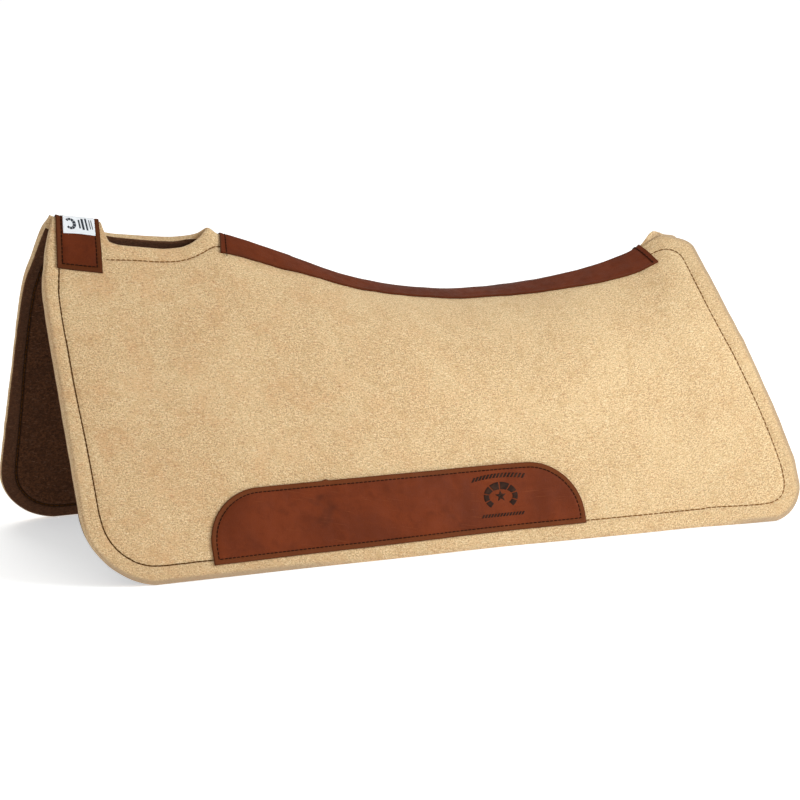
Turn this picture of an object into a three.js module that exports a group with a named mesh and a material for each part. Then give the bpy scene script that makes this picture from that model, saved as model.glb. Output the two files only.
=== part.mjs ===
// Western saddle pad: two halves of two-layer wool felt, sewn together along a dipped spine
// and shaped like the horse's back. Leather covers the spine and bridges the halves over the
// withers, and a leather wear patch protects the lower edge of each half.
//
// Frame, in millimetres: +X towards the horse's tail, -Y the near (left) half, +Y the far half,
// +Z up, and z = 0 the surface that the pad's two lower edges stand on.
//
// A point on a half is given by its station x, by s, the distance down the cloth from the ridge
// line, and by its depth below the outer face of the felt. A piece that lies on the felt has a
// negative depth.
import * as THREE from 'three';

// Ridge line: heights and the slope of the felt on each side of it, in degrees
const RIDGE_HEIGHT = [[-400, 365], [-336, 355], [-196, 329.5], [-120, 299.5], [-40, 266.5], [30, 249.5],
  [90, 242], [150, 242.5], [220, 251.5], [292, 271], [320, 281], [400, 300]];
const RIDGE_SLOPE = [[-396, 60], [-196, 33], [0, 2.5], [100, 0.5], [194, 7.5], [284, 20.5], [384, 32]];
const SKIRT_SLOPE = [[-396, 64], [-6, 72], [384, 63]];
const SHOULDER = 178;            // the cloth turns from the ridge slope to the skirt slope in this

// Outline of one half
const FRONT_EDGE = [[0, -374], [54, -390], [84, -397], [130, -398.5], [320, -398.5]];
const REAR_EDGE = [[33, 349.5], [60, 351], [110, 358], [180, 375], [235, 387.5], [300, 398.5]];
const FRONT_CORNER = 70;
const REAR_CORNER = 35;
const TAIL_SLIT = { from: 293, to: 321, depth: 2 };
const TAIL_CORNER = { start: [333, 11], turn: [349, 18] };
const OPENING = [[-319, 0], [-314, 22], [-300, 25], [-262, 26], [-240, 23.5], [-224, 16.5], [-208, 4.5],
  [-200, 0]];                    // wither opening: how far its edge is cut back from the ridge
const RIDGE_GAP = 5;             // each half stops this far from the middle plane

// Felt, leather and thread
const FELT = 9.3;
const LINER = 3.1;
const LINER_HEM = 0.8;           // the liner is trimmed this far above the felt's lower edge
const TOUCH = 0.3;               // gap between faces that lie on each other
const LIFT = 0.8;                // the same under a piece whose facets don't match the felt's
const SPINE_LIFT = 1.5;          // the same under the strip, where the felt twists most
const LEATHER = 2.6;
const LABEL = 0.8;
const THREAD = 0.6;              // radius
const SEAM_MARGIN = 18;
const THREAD_SIDES = 4;
const SEAM_POINTS = 200;         // round one half's outline
const LINER_DEPTH = FELT + TOUCH;
const PAD_DEPTH = LINER_DEPTH + LINER;
const BARE_ENDS = { patch: 3, strap: 8, opening: 6, stripFront: 10, stripRear: 14, ridge: 2 };
                                 // how far short of each of these a bare run of the seam stops
const onFelt = LIFT + THREAD;    // a thread's height above the felt's outer face
const onLeather = LIFT + LEATHER + LIFT + THREAD;
const underLiner = 2 * LIFT + THREAD;   // and its depth below the liner's inner face

// Leather pieces
const STRIP = { front: -187, rear: 295, halfWidth: 35, frontSweep: -8, rearSweep: 8 };
const STRIP_ROWS = [0, 6, 20, 35];
const STRAP_ROWS = [0, 2, 8, 20, 38, 61];
const STRAP = { middle: -344, halfWidth: 23.5, reach: 61, sweep: -9.5, skew: 2.5 };
const TAG = { halfWidth: 17.5, reach: 21 };
const PATCH = { front: -264, rear: 151, low: 14, high: 91, fall: 4, corner: 58 };
const STITCH_INSET = 5;          // stitches this far inside a leather piece's edge
const THREAD_GAP = 1.5;          // between the two ends of a seam that runs all round
const ZIGZAG = { swing: 3.2, pitch: 16, sink: 1.5 };
const SPINE_SEAM = [STRIP.front + 3, STRIP.rear - 3];
const BRIDGE_SEAM = [-370, -328];

const SKINS = {
  felt: new THREE.MeshStandardMaterial({ color: 0xd8bf92, roughness: 0.95, metalness: 0 }),
  liner: new THREE.MeshStandardMaterial({ color: 0x3a2419, roughness: 1, metalness: 0 }),
  leather: new THREE.MeshStandardMaterial({ color: 0x6e3420, roughness: 0.55, metalness: 0 }),
  thread: new THREE.MeshStandardMaterial({ color: 0x3b2312, roughness: 0.8, metalness: 0 }),
  label: new THREE.MeshStandardMaterial({ color: 0xe9e6df, roughness: 0.9, metalness: 0 }),
};

const radians = THREE.MathUtils.degToRad;
const mix = THREE.MathUtils.lerp;

// A smooth curve through stations, which never swings past them
function through(stations) {
  const steps = stations.slice(1).map(([x, y], i) => (y - stations[i][1]) / (x - stations[i][0]));
  const slopes = stations.map((_, i) => {
    if (i === 0 || i === steps.length) return steps[Math.min(i, steps.length - 1)];
    const [before, after] = [steps[i - 1], steps[i]];
    return before * after > 0 ? 2 * before * after / (before + after) : 0;
  });
  return (x) => {
    let i = 0;
    while (i < steps.length - 1 && x > stations[i + 1][0]) i += 1;
    const width = stations[i + 1][0] - stations[i][0];
    const t = THREE.MathUtils.clamp((x - stations[i][0]) / width, 0, 1);
    const rest = 1 - t;
    return stations[i][1] * (1 + 2 * t) * rest * rest + slopes[i] * width * t * rest * rest
      + stations[i + 1][1] * (1 + 2 * rest) * t * t - slopes[i + 1] * width * rest * t * t;
  };
}

const ridgeHeight = through(RIDGE_HEIGHT);
const ridgeSlope = through(RIDGE_SLOPE);
const skirtSlope = through(SKIRT_SLOPE);
const frontEdge = through(FRONT_EDGE);
const rearEdge = through(REAR_EDGE);

// Distance out from the middle plane and height of a point on a half's section at station x
function section(x, s, depth) {
  const start = radians(ridgeSlope(x));
  const end = radians(skirtSlope(x));
  const arc = Math.min(s, SHOULDER);
  const half = (end - start) * arc / SHOULDER / 2;
  const chord = arc * (Math.abs(half) < 1e-6 ? 1 : Math.sin(half) / half);
  const slope = start + 2 * half;
  const straight = Math.max(s - SHOULDER, 0);
  const out = chord * Math.cos(start + half) + straight * Math.cos(end);
  const drop = chord * Math.sin(start + half) + straight * Math.sin(end);
  return { out: out - depth * Math.sin(slope), up: ridgeHeight(x) - drop - depth * Math.cos(slope) };
}

// Halves an interval until it holds the one s where the test turns true
function firstWhere(test) {
  let [low, high] = [0, 600];
  for (let i = 0; i < 50; i += 1) {
    const middle = (low + high) / 2;
    if (test(middle)) high = middle;
    else low = middle;
  }
  return high;
}

const ridgeAt = (x, depth) => firstWhere((s) => section(x, s, depth).out > RIDGE_GAP);
const hemAt = (x, depth) => firstWhere(
  (s) => section(x, s, depth).up < (depth > FELT ? LINER_HEM : 0),
);

function place(side, [x, s], depth) {
  const at = section(x, s, depth);
  return new THREE.Vector3(x, side * at.out, at.up);
}

// Points from one place to another, without the last
function steps(count, at) {
  return Array.from({ length: count }, (_, i) => at(i / count));
}

const wither = through(OPENING);

// How far the half's upper edge lies down the cloth from the ridge line at station x
function upperEdge(x, depth) {
  const inOpening = x > OPENING[0][0] && x < OPENING.at(-1)[0];
  const slit = THREE.MathUtils.clamp((x - TAIL_SLIT.from) / (TAIL_SLIT.to - TAIL_SLIT.from), 0, 1);
  return Math.max(ridgeAt(x, depth), inOpening ? wither(x) : 0) + TAIL_SLIT.depth * slit;
}

// The four sides of a half's outline, each from the front or from the top, with equal counts on
// opposite sides. The lower corners are quarter circles, shared by the two sides that meet there.
function outline(depth) {
  const upper = (x) => [x, upperEdge(x, depth)];
  const nose = frontEdge(ridgeAt(FRONT_EDGE[0][1], depth));
  const top = [
    ...steps(3, (t) => upper(mix(nose, OPENING[0][0], t))),
    ...OPENING.slice(0, -1).map(([x]) => upper(x)),
    ...steps(14, (t) => upper(mix(OPENING.at(-1)[0], TAIL_SLIT.from, t))),
    upper(TAIL_SLIT.from),
    upper(TAIL_SLIT.to),
  ];
  const corner = (middle, radius, outward) => {
    const start = hemAt(middle, depth) - radius;
    return (angle) => [middle + outward * radius * Math.cos(angle), start + radius * Math.sin(angle)];
  };
  const frontMiddle = FRONT_EDGE.at(-1)[1] + FRONT_CORNER;
  const rearMiddle = REAR_EDGE.at(-1)[1] - REAR_CORNER;
  const frontCorner = corner(frontMiddle, FRONT_CORNER, -1);
  const rearCorner = corner(rearMiddle, REAR_CORNER, 1);
  const half = Math.PI / 4;
  const hem = top.slice(3, -3);
  const hemRun = hem.at(-1)[0] - hem[0][0];
  const bottom = [
    ...steps(3, (t) => frontCorner(half * (1 + t))),
    ...hem.slice(0, -1).map(([x]) => mix(frontMiddle, rearMiddle, (x - hem[0][0]) / hemRun))
      .map((x) => [x, hemAt(x, depth)]),
    ...steps(3, (t) => rearCorner(half * (2 - t))),
    rearCorner(half),
  ];
  const front = [
    ...steps(10, (t) => mix(top[0][1], frontCorner(0)[1], t ** 1.3)).map((s) => [frontEdge(s), s]),
    ...steps(3, (t) => frontCorner(half * t)),
    frontCorner(half),
  ];
  const [rearTop, rearStart] = REAR_EDGE[0];
  const tail = new THREE.QuadraticBezierCurve(new THREE.Vector2(...TAIL_CORNER.start),
    new THREE.Vector2(...TAIL_CORNER.turn), new THREE.Vector2(rearStart, rearTop));
  const rear = [
    top.at(-1),
    ...steps(2, (t) => tail.getPoint(t).toArray())
      .map(([x, s]) => [x, Math.max(s, upperEdge(x, depth))]),
    ...steps(7, (t) => mix(rearTop, rearCorner(0)[1], t)).map((s) => [rearEdge(s), s]),
    ...steps(3, (t) => rearCorner(half * t)),
    rearCorner(half),
  ];
  return { top, bottom, front, rear };
}

// Rows of points that fill the outline, from the upper edge to the lower
function fill({ top, bottom, front, rear }) {
  const corners = [top[0], top.at(-1), bottom[0], bottom.at(-1)];
  return front.map((left, row) => {
    const v = row / (front.length - 1);
    return top.map((above, column) => {
      const u = column / (top.length - 1);
      return [0, 1].map((axis) => mix(above[axis], bottom[column][axis], v)
        + mix(left[axis], rear[row][axis], u)
        - mix(mix(corners[0][axis], corners[1][axis], u), mix(corners[2][axis], corners[3][axis], u), v));
    });
  });
}

// A closed body between two equal grids of points
function slab(outer, inner) {
  const rows = outer.length;
  const columns = outer[0].length;
  const points = [...outer.flat(), ...inner.flat()];
  const index = (layer, row, column) => layer * rows * columns + row * columns + column;
  const faces = [];
  const quad = (a, b, c, d) => faces.push(a, b, c, a, c, d);
  for (let r = 0; r < rows - 1; r += 1) {
    for (let c = 0; c < columns - 1; c += 1) {
      quad(index(0, r, c), index(0, r + 1, c), index(0, r + 1, c + 1), index(0, r, c + 1));
      quad(index(1, r, c), index(1, r, c + 1), index(1, r + 1, c + 1), index(1, r + 1, c));
    }
  }
  for (let c = 0; c < columns - 1; c += 1) {
    quad(index(0, 0, c), index(0, 0, c + 1), index(1, 0, c + 1), index(1, 0, c));
    quad(index(0, rows - 1, c), index(1, rows - 1, c), index(1, rows - 1, c + 1),
      index(0, rows - 1, c + 1));
  }
  for (let r = 0; r < rows - 1; r += 1) {
    quad(index(0, r, 0), index(1, r, 0), index(1, r + 1, 0), index(0, r + 1, 0));
    quad(index(0, r, columns - 1), index(0, r + 1, columns - 1), index(1, r + 1, columns - 1),
      index(1, r, columns - 1));
  }
  return closed(points, faces);
}

// A geometry whose faces are turned to point out of the body
function closed(points, faces) {
  let volume = 0;
  for (let i = 0; i < faces.length; i += 3) {
    const [a, b, c] = faces.slice(i, i + 3).map((corner) => points[corner]);
    volume += a.dot(b.clone().cross(c));
  }
  const geometry = new THREE.BufferGeometry().setFromPoints(points);
  geometry.setIndex(volume < 0 ? faces.reverse() : faces);
  geometry.computeVertexNormals();
  return geometry;
}

const pad = new THREE.Group();

function add(name, geometry, skin) {
  const mesh = new THREE.Mesh(geometry, SKINS[skin]);
  mesh.name = name;
  pad.add(mesh);
}

// One layer of a half's felt, between two depths
function layer(side, from, to) {
  const face = (depth) => fill(outline(depth))
    .map((row) => row.map((point) => place(side, point, depth)));
  return slab(face(from), face(to));
}

// Leather or label laid over the ridge, so many millimetres above the felt. stations gives the
// piece's front and rear at s, and its two ends may be cut askew.
function saddled(rows, columns, stations, above, thickness) {
  const face = (height) => rows.map((signed) => Array.from({ length: columns + 1 }, (_, i) => {
    const [x, s] = stations(Math.abs(signed), i / columns);
    return astride(Math.sign(signed) * s, x, height);
  }));
  return slab(face(above + thickness), face(above));
}

const bothSides = (rows) => [...rows.slice(1).reverse().map((s) => -s), ...rows];

const stripAt = (s, u) => [mix(STRIP.front + STRIP.frontSweep * s / STRIP.halfWidth,
  STRIP.rear + STRIP.rearSweep * s / STRIP.halfWidth, u), s];

const strapMiddle = (s) => STRAP.middle + STRAP.sweep * s / STRAP.reach;

const strapAt = (s, u) => [strapMiddle(s) + STRAP.halfWidth * (2 * u - 1),
  s + STRAP.skew * (2 * u - 1) * s / STRAP.reach];

const tagAt = (s, u) => [strapMiddle(s) + TAG.halfWidth * (2 * u - 1), s];

// Height of the wear patch's outline above the hem, at a distance along it from either end
function patchTop(fromEnd, inset) {
  const radius = PATCH.corner - inset;
  const reach = Math.min(Math.max(fromEnd, 0), radius);
  const rise = Math.sqrt(radius ** 2 - (radius - reach) ** 2);
  return PATCH.high - inset - radius + rise;
}

// The same at station x. The patch's top runs down a little to the rear.
const patchHigh = (x, inset) => patchTop(Math.min(x - PATCH.front, PATCH.rear - x) - inset, inset)
  - PATCH.fall * (x - PATCH.front) / (PATCH.rear - PATCH.front);

const patchStations = (inset) => {
  const radius = PATCH.corner - inset;
  const bend = steps(4, (t) => radius * (1 - Math.cos(t * Math.PI / 2)));
  const [front, rear] = [PATCH.front + inset, PATCH.rear - inset];
  return [...bend.map((far) => front + far),
    ...steps(10, (t) => mix(front + radius, rear - radius, t)),
    rear - radius, ...bend.map((far) => rear - far).reverse()];
};

function wearPatch(side) {
  const face = (height) => steps(4, (t) => t).concat(1).map((t) => patchStations(0).map((x) => {
    const above = mix(PATCH.low, patchHigh(x, 0), t);
    return place(side, [x, hemAt(x, 0) - above], -height);
  }));
  return slab(face(LIFT + LEATHER), face(LIFT));
}

// A thread along a smooth line through the points
function thread(points, count) {
  const round = new THREE.Shape(steps(THREAD_SIDES, (t) => new THREE.Vector2(
    THREAD * Math.cos(2 * Math.PI * t), THREAD * Math.sin(2 * Math.PI * t))));
  return new THREE.ExtrudeGeometry(round, {
    steps: count, bevelEnabled: false, extrudePath: new THREE.CatmullRomCurve3(points),
  });
}

// A half's outline as one loop, moved inwards by the seam's margin. Points that a tight corner
// would leave too near the edge are dropped.
function seamLine() {
  const { top, bottom, front, rear } = outline(0);
  const loop = [...top, ...rear.slice(1), ...bottom.slice(0, -1).reverse(),
    ...front.slice(1, -1).reverse()].map(([x, s]) => new THREE.Vector3(x, s, 0));
  const edge = new THREE.CatmullRomCurve3(loop, true).getSpacedPoints(SEAM_POINTS).slice(0, -1);
  const moved = edge.map((point, i) => {
    const along = edge[(i + 1) % SEAM_POINTS].clone().sub(edge.at(i - 1)).normalize();
    return new THREE.Vector3(point.x - along.y * SEAM_MARGIN, point.y + along.x * SEAM_MARGIN, 0);
  });
  const nearest = (point) => Math.min(...edge.map((other) => other.distanceTo(point)));
  return moved.filter((point) => nearest(point) > SEAM_MARGIN - 0.3).map(({ x, y }) => [x, y]);
}

const seam = seamLine();

// A seam's thread over every few of its points, and always over the last
function seamThread(side, line, depth) {
  const kept = line.filter((_, i) => i % 3 === 0 || i === line.length - 1);
  return thread(kept.map((point) => place(side, point, depth)), kept.length - 1);
}

// Runs of the seam that the leather leaves bare
const strapFoot = STRAP.reach + STRAP.skew + BARE_ENDS.strap;
const frontRun = seam.filter(([x, s]) => x < PATCH.front - BARE_ENDS.patch && s > strapFoot);
const openingRun = seam.filter(([x, s]) => s < strapFoot
  && x > OPENING[0][0] + BARE_ENDS.opening && x < STRIP.front - BARE_ENDS.stripFront);
const rearRun = seam.filter(([x, s]) => x > PATCH.rear + BARE_ENDS.patch
  && (s > SHOULDER || x > STRIP.rear + BARE_ENDS.stripRear));
const linerRun = seam.filter(([x, s]) => section(x, s, PAD_DEPTH + underLiner).out
  > RIDGE_GAP + BARE_ENDS.ridge);

// The wear patch's stitches: along its lower edge from the middle, up and round, and back
function patchThread(side) {
  const high = patchStations(STITCH_INSET).map((x) => [x, patchHigh(x, STITCH_INSET)]);
  const low = PATCH.low + STITCH_INSET;
  const middle = (PATCH.front + PATCH.rear) / 2;
  const [front, rear] = [high[0][0], high.at(-1)[0]];
  const run = (from, to) => steps(6, (t) => [mix(from, to, t), low]);
  const line = [...run(middle, front), [front, low], ...high, [rear, low],
    ...run(rear, middle + THREAD_GAP).slice(1), [middle + THREAD_GAP, low]];
  return thread(line.map(([x, rise]) => place(side, [x, hemAt(x, 0) - rise], -onLeather)), 64);
}

// Points over the ridge in the middle plane, and on either half away from it
function astride(signed, x, height) {
  if (signed === 0) return new THREE.Vector3(x, 0, ridgeHeight(x) + height);
  return place(Math.sign(signed), [x, Math.abs(signed)], -height);
}

// The bridge strap's stitches: one line round the whole strap, over the ridge and back
function strapThread() {
  const across = STRAP.halfWidth - STITCH_INSET;
  const foot = STRAP.reach - STITCH_INSET;
  const over = bothSides([...STRAP_ROWS.slice(0, -1), foot]);
  const point = (signed, t) => {
    const s = Math.abs(signed);
    const x = strapMiddle(s) + across * t;
    return astride(signed + Math.sign(signed) * STRAP.skew * t * s / STRAP.reach, x, onLeather);
  };
  return thread([
    point(-foot, 0), ...over.map((s) => point(s, 1)), point(foot, 0),
    ...over.map((s) => point(-s, -1)), point(-foot, -THREAD_GAP / across),
  ], 64);
}

// Stitches across one end of the spine strip
function stripEndThread(u, inset) {
  const height = onLeather + SPINE_LIFT - LIFT;
  const rows = bothSides(STRIP_ROWS);
  return thread(rows.map((s) => astride(s, stripAt(Math.abs(s), u)[0] + inset, height)), 12);
}

// A zigzag seam in the gap between the halves, so far above the felt's edge there
function zigzag(from, to, depth, rise) {
  const count = 2 * Math.round((to - from) / ZIGZAG.pitch);
  const points = Array.from({ length: count + 1 }, (_, i) => {
    const x = mix(from, to, i / count);
    const up = section(x, ridgeAt(x, depth), depth).up + rise;
    return new THREE.Vector3(x, ZIGZAG.swing * (i % 2 ? 1 : -1), up);
  });
  return thread(points, count);
}

for (const [half, side] of [['near', -1], ['far', 1]]) {
  add(`${half}_felt`, layer(side, 0, FELT), 'felt');
  add(`${half}_liner`, layer(side, LINER_DEPTH, PAD_DEPTH), 'liner');
  add(`${half}_wear_leather`, wearPatch(side), 'leather');
  add(`${half}_front_rim_thread`, seamThread(side, frontRun, -onFelt), 'thread');
  add(`${half}_rear_rim_thread`, seamThread(side, rearRun, -onFelt), 'thread');
  add(`${half}_opening_thread`, seamThread(side, openingRun, -onFelt), 'thread');
  add(`${half}_liner_thread`, seamThread(side, linerRun, PAD_DEPTH + underLiner), 'thread');
  add(`${half}_wear_thread`, patchThread(side), 'thread');
}

add('spine_strip', saddled(bothSides(STRIP_ROWS), 20, stripAt, SPINE_LIFT, LEATHER), 'leather');
add('bridge_strap', saddled(bothSides(STRAP_ROWS), 3, strapAt, LIFT, LEATHER), 'leather');
add('woven_label', saddled(bothSides([0, 3, 10, TAG.reach]), 3, tagAt, LIFT + LEATHER + TOUCH, LABEL),
  'label');
add('bridge_strap_thread', strapThread(), 'thread');
add('strip_front_thread', stripEndThread(0, STITCH_INSET), 'thread');
add('strip_rear_thread', stripEndThread(1, -STITCH_INSET), 'thread');
for (const [name, [from, to]] of [['spine', SPINE_SEAM], ['bridge', BRIDGE_SEAM]]) {
  add(`${name}_seam_thread`, zigzag(from, to, 0, -ZIGZAG.sink), 'thread');
  add(`${name}_under_thread`, zigzag(from, to, PAD_DEPTH, ZIGZAG.sink), 'thread');
}

export default pad;
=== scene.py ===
"""Looks of a contoured western saddle pad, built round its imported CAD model.

A place on the pad is given in millimetres, by its station x, by s, the distance down the cloth from
the ridge line, and by its depth below the outer face of the felt. What lies over the ridge is given by
x and q instead: q runs across the ridge, positive on the near half. Meshes are made in metres.
"""

import math

import bpy
import numpy as np
from mathutils import Matrix, Quaternion, Vector
from mathutils.kdtree import KDTree


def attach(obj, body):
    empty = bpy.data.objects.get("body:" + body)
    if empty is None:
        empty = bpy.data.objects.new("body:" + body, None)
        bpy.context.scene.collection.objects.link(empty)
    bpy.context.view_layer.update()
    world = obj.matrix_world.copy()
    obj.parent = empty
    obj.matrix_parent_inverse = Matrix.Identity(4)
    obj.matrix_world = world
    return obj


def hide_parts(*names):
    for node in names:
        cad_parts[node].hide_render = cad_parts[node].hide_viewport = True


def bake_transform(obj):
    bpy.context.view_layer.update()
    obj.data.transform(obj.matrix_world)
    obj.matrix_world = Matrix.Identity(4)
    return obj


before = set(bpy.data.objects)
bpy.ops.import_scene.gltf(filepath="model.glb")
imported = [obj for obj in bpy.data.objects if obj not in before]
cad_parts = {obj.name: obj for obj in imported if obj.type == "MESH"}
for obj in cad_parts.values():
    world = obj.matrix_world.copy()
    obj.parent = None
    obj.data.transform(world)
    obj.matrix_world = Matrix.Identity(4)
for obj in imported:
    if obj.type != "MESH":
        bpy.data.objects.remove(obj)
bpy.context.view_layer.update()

MM = 0.001
NEAR, FAR = -1, 1
HALVES = {"near": NEAR, "far": FAR}

# Shape of the cloth: ridge heights, and the slopes of the felt at the ridge and on the skirt in degrees
RIDGE_HEIGHT = [(-400, 365), (-336, 355), (-196, 329), (-120, 300.5), (-40, 267.5), (30, 249.5),
                (90, 240.8), (118, 240.3), (150, 242.5), (220, 251.5), (281, 266.2), (292, 271),
                (320, 281), (400, 300)]
RIDGE_SLOPE = [(-396, 60), (-196, 33), (0, 2.5), (100, 0.5), (194, 7.5), (284, 20.5), (384, 32)]
SKIRT_SLOPE = [(-396, 64), (-6, 72), (384, 63)]
SHOULDER = 178                 # the cloth turns from the one slope to the other in this distance
BEYOND_HEM, HALVINGS = 600, 40  # how far down the cloth a place is searched for, and in how many steps

# Outline of one half
FRONT_EDGE = [(0, -374), (54, -390), (84, -397), (130, -398.5), (320, -398.5)]
REAR_EDGE = [(33, 349.5), (60, 351), (110, 358), (180, 375), (235, 387.5), (300, 398.5)]
FRONT_CORNER = 70
REAR_CORNER = 35
SLIT_FROM, SLIT_TO, SLIT_DEPTH = 293, 321, 2
TAIL_START, TAIL_TURN = (333, 11), (349, 18)
OPENING = [(-319, 0), (-314, 22), (-300, 25), (-262, 26), (-240, 23.5), (-224, 16.5), (-208, 4.5),
           (-200, 0)]          # wither opening: how far its edge is cut back from the ridge
OPENING_CUT = {NEAR: 1.09, FAR: 0.66}  # the knife went deeper on the near half
OPENING_BEVEL = {NEAR: 0, FAR: 0.4}    # and leant over on the far one
BUTT_GAP = 0.15                # each half stops this far from the middle plane

# Where the felt stands up from that shape: (station, half width, height, distance down the cloth
# of the highest place, reach down the cloth). The far half is curled more.
NEAR_RISES = [(-388, 16, 5.5, 0, 42), (-200, 8, 6, 0, 12), (322, 21, 4.5, 0, 34)]
RISES = {NEAR: NEAR_RISES, FAR: [*NEAR_RISES, (310, 9, 8, 0, 16), (-386, 15, 4.5, 20, 16)]}
# Where the far half's underside is drawn up beside the seam: station, half width, height, reach
DRAWN_UP = (-213, 15, 5.0, 16)
NEAR_FRONT_PARED, PARED_REACH = 3, 36    # the near half's front edge is cut back at the ridge

# Thicknesses and roundings
FELT = 9.3
PAD = 12.7
LEATHER = 2.6
LEATHER_GAP = 0.1              # under a leather piece
LABEL_THICK = 0.55
FELT_ROUND, LINER_ROUND, LEATHER_ROUND = 2.4, 1.3, 0.8   # of the edges in view
FELT_BACK_ROUND, LINER_BACK_ROUND, LEATHER_BACK_ROUND = 0.7, 0.5, 0.3
LINER_SET_BACK, LINER_GAP = 0.7, 0.1
FRONT_TRIM = 1.2               # the front edge is cut this far back, and aslant, so that the liner
FRONT_SLANT = 0.15             # runs further forward than the felt's face

# Leather pieces
STRIP_FRONT, STRIP_REAR, STRIP_HALF = -187, 295, 35
STRIP_SWEEP = (-8, 8)          # the two ends' slant at the strip's long edges
STRIP_WIDTH = [(-196, 30.5), (-155, 31.5), (-128, 34), (-66, 36), (0, 32.5), (50, 28.5), (100, 26.5),
               (150, 28), (195, 31), (225, 34), (263, 35), (303, 36.5)]
SPLICE = -108                  # where the strip's two lengths of leather meet
THREAD_TAIL = 5                # the front cross stitch runs on past the strip's edge
STRAP_MIDDLE, STRAP_HALF, STRAP_REACH, STRAP_SWEEP, STRAP_SKEW = -344, 23.5, 62, -9.5, 2.5
LABEL_HALF, LABEL_REACH, LABEL_SHIFT = 17.3, 21, 1.0
PATCH_FRONT, PATCH_REAR, PATCH_LOW, PATCH_HIGH, PATCH_FALL, PATCH_CORNER = -264, 151, 14, 91, 4, 58
PATCH_CLIMB = 3.3              # its lower edge rises towards the rear
PATCH_NICK = (-131, 2.6, 1.5)  # a slip of the knife on its upper edge: station, half width, height
STAMP_CENTRE = (60, 54)        # station, and height above the hem
STAMP_SHOE = (38, 30, 8)       # width, height, and width of its web
STAR_RADIUS = 6.5
STAMP_ROPES = [(22, 60, 4.6, 15, 3), (-20, 48, 3.4, 14, 0)]  # height, length, thickness, strands, bow
STAMP_SUNK, STAMP_PROUD = 0.4, 0.22
LABEL_MIDDLE = 8.6             # q of the middle of the label's marks on each side of the ridge
LABEL_SHOE, SHOE_OFFSET = (13, 12, 3.6), -8
# The label's bars: offset along the pad, length and width
LABEL_BARS = [(1.6, 10, 1.8), (5.2, 13, 2.4), (9.2, 14, 1.9), (12.8, 11, 0.9), (15.0, 11, 0.8)]
LABEL_BOW = 0.9                # its lower edges are drawn up this much in the middle
CREST = 1.5                    # the felt's rounding under whatever crosses the ridge

# Seams. Their distance from the edge changes down the front and down the rear.
FRONT_MARGIN = [(37, 14.5), (60, 16.5), (90, 17), (180, 17.5), (260, 20), (326, 21)]
REAR_MARGIN = [(40, 18.5), (120, 20), (200, 18), (280, 16.5)]
FAR_FRONT_LESS = 2.5             # the far half is sewn this much closer to its front edge
HEM_MARGIN, OPENING_MARGIN = 20, 18
SEAM_SMOOTHINGS = 60
STITCH_INSET = 5.5
FELT_PITCH, LEATHER_PITCH = 6.0, 4.6
LEATHER_COVER = 0.85
FELT_THREAD, LEATHER_THREAD = 0.62, 0.5    # radii
STITCH_STEPS, STITCH_SIDES = 9, 7
GROOVE, LINER_GROOVE, GROOVE_WIDTH = 1.3, 1.7, 2.6
CREASE_WIDTH = 1.6             # of leather under its stitches
ZIGZAGS = {"spine": (STRIP_FRONT + 3, STRIP_REAR - 3), "bridge": (-370, -328)}
ZIGZAG_PITCH, ZIGZAG_REACH, ZIGZAG_ROUND = 16, 4.0, 1.2


# -------- camera, floor and light

LOOK_AT = Vector((0.012, 0, 0.1294))
AZIMUTH, ELEVATION, ROLL = (math.radians(angle) for angle in (-20.39, 11.48, -1.446))
DISTANCE = 6.005
LENS = 250.64
FLOOR_HALF = 25
FLOOR_DROP = 0.0005            # keeps the floor clear of the pad's lower edges


def new_object(name, data):
    thing = bpy.data.objects.new(name, data)
    bpy.context.scene.collection.objects.link(thing)
    return thing


def make_camera():
    back = Vector((math.sin(AZIMUTH) * math.cos(ELEVATION),
                   -math.cos(AZIMUTH) * math.cos(ELEVATION), math.sin(ELEVATION)))
    data = bpy.data.cameras.new("camera")
    data.lens = LENS
    data.clip_end = 100
    camera = new_object("camera", data)
    turn = back.to_track_quat("Z", "Y") @ Quaternion((0, 0, 1), ROLL)
    camera.matrix_world = Matrix.Translation(LOOK_AT + back * DISTANCE) @ turn.to_matrix().to_4x4()
    bpy.context.scene.camera = camera


def make_lamp(name, place, size, power, colour):
    data = bpy.data.lights.new(name, "AREA")
    data.shape = "DISK"
    data.size = size
    data.energy = power
    data.color = colour
    lamp = new_object(name, data)
    lamp.location = place
    lamp.rotation_mode = "QUATERNION"
    lamp.rotation_quaternion = (Vector(place) - LOOK_AT).to_track_quat("Z", "Y")


def make_studio():
    scene = bpy.context.scene
    scene.view_settings.view_transform = "Standard"
    world = bpy.data.worlds.new("studio")
    world.use_nodes = True
    background = world.node_tree.nodes["Background"]
    background.inputs["Color"].default_value = (1.0, 0.955, 0.88, 1)
    background.inputs["Strength"].default_value = 0.50
    scene.world = world

    mesh = bpy.data.meshes.new("floor")
    corners = [(FLOOR_HALF * x, FLOOR_HALF * y, -FLOOR_DROP) for x, y in ((-1, -1), (1, -1), (1, 1), (-1, 1))]
    mesh.from_pydata(corners, [], [(0, 1, 2, 3)])
    floor = new_object("floor", mesh)
    paper = bpy.data.materials.new("pale_floor")
    paper.use_nodes = True
    shader = paper.node_tree.nodes["Principled BSDF"]
    shader.inputs["Base Color"].default_value = (0.9, 0.9, 0.9, 1)
    shader.inputs["Roughness"].default_value = 0.9
    shader.inputs["Emission Color"].default_value = (0.94, 0.97, 1.0, 1)
    shader.inputs["Emission Strength"].default_value = 0.50
    mesh.materials.append(paper)

    make_lamp("key", (1.35, -1.35, 0.95), 1.2, 38, (0.90, 0.97, 1.0))
    make_lamp("fill", (-3.2, -3.6, 3.0), 3.0, 24, (1.0, 0.99, 0.95))
    make_lamp("top", (0.0, 2.2, 4.0), 3.0, 50, (1.0, 1.0, 1.0))


# -------- shape of the cloth

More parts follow.
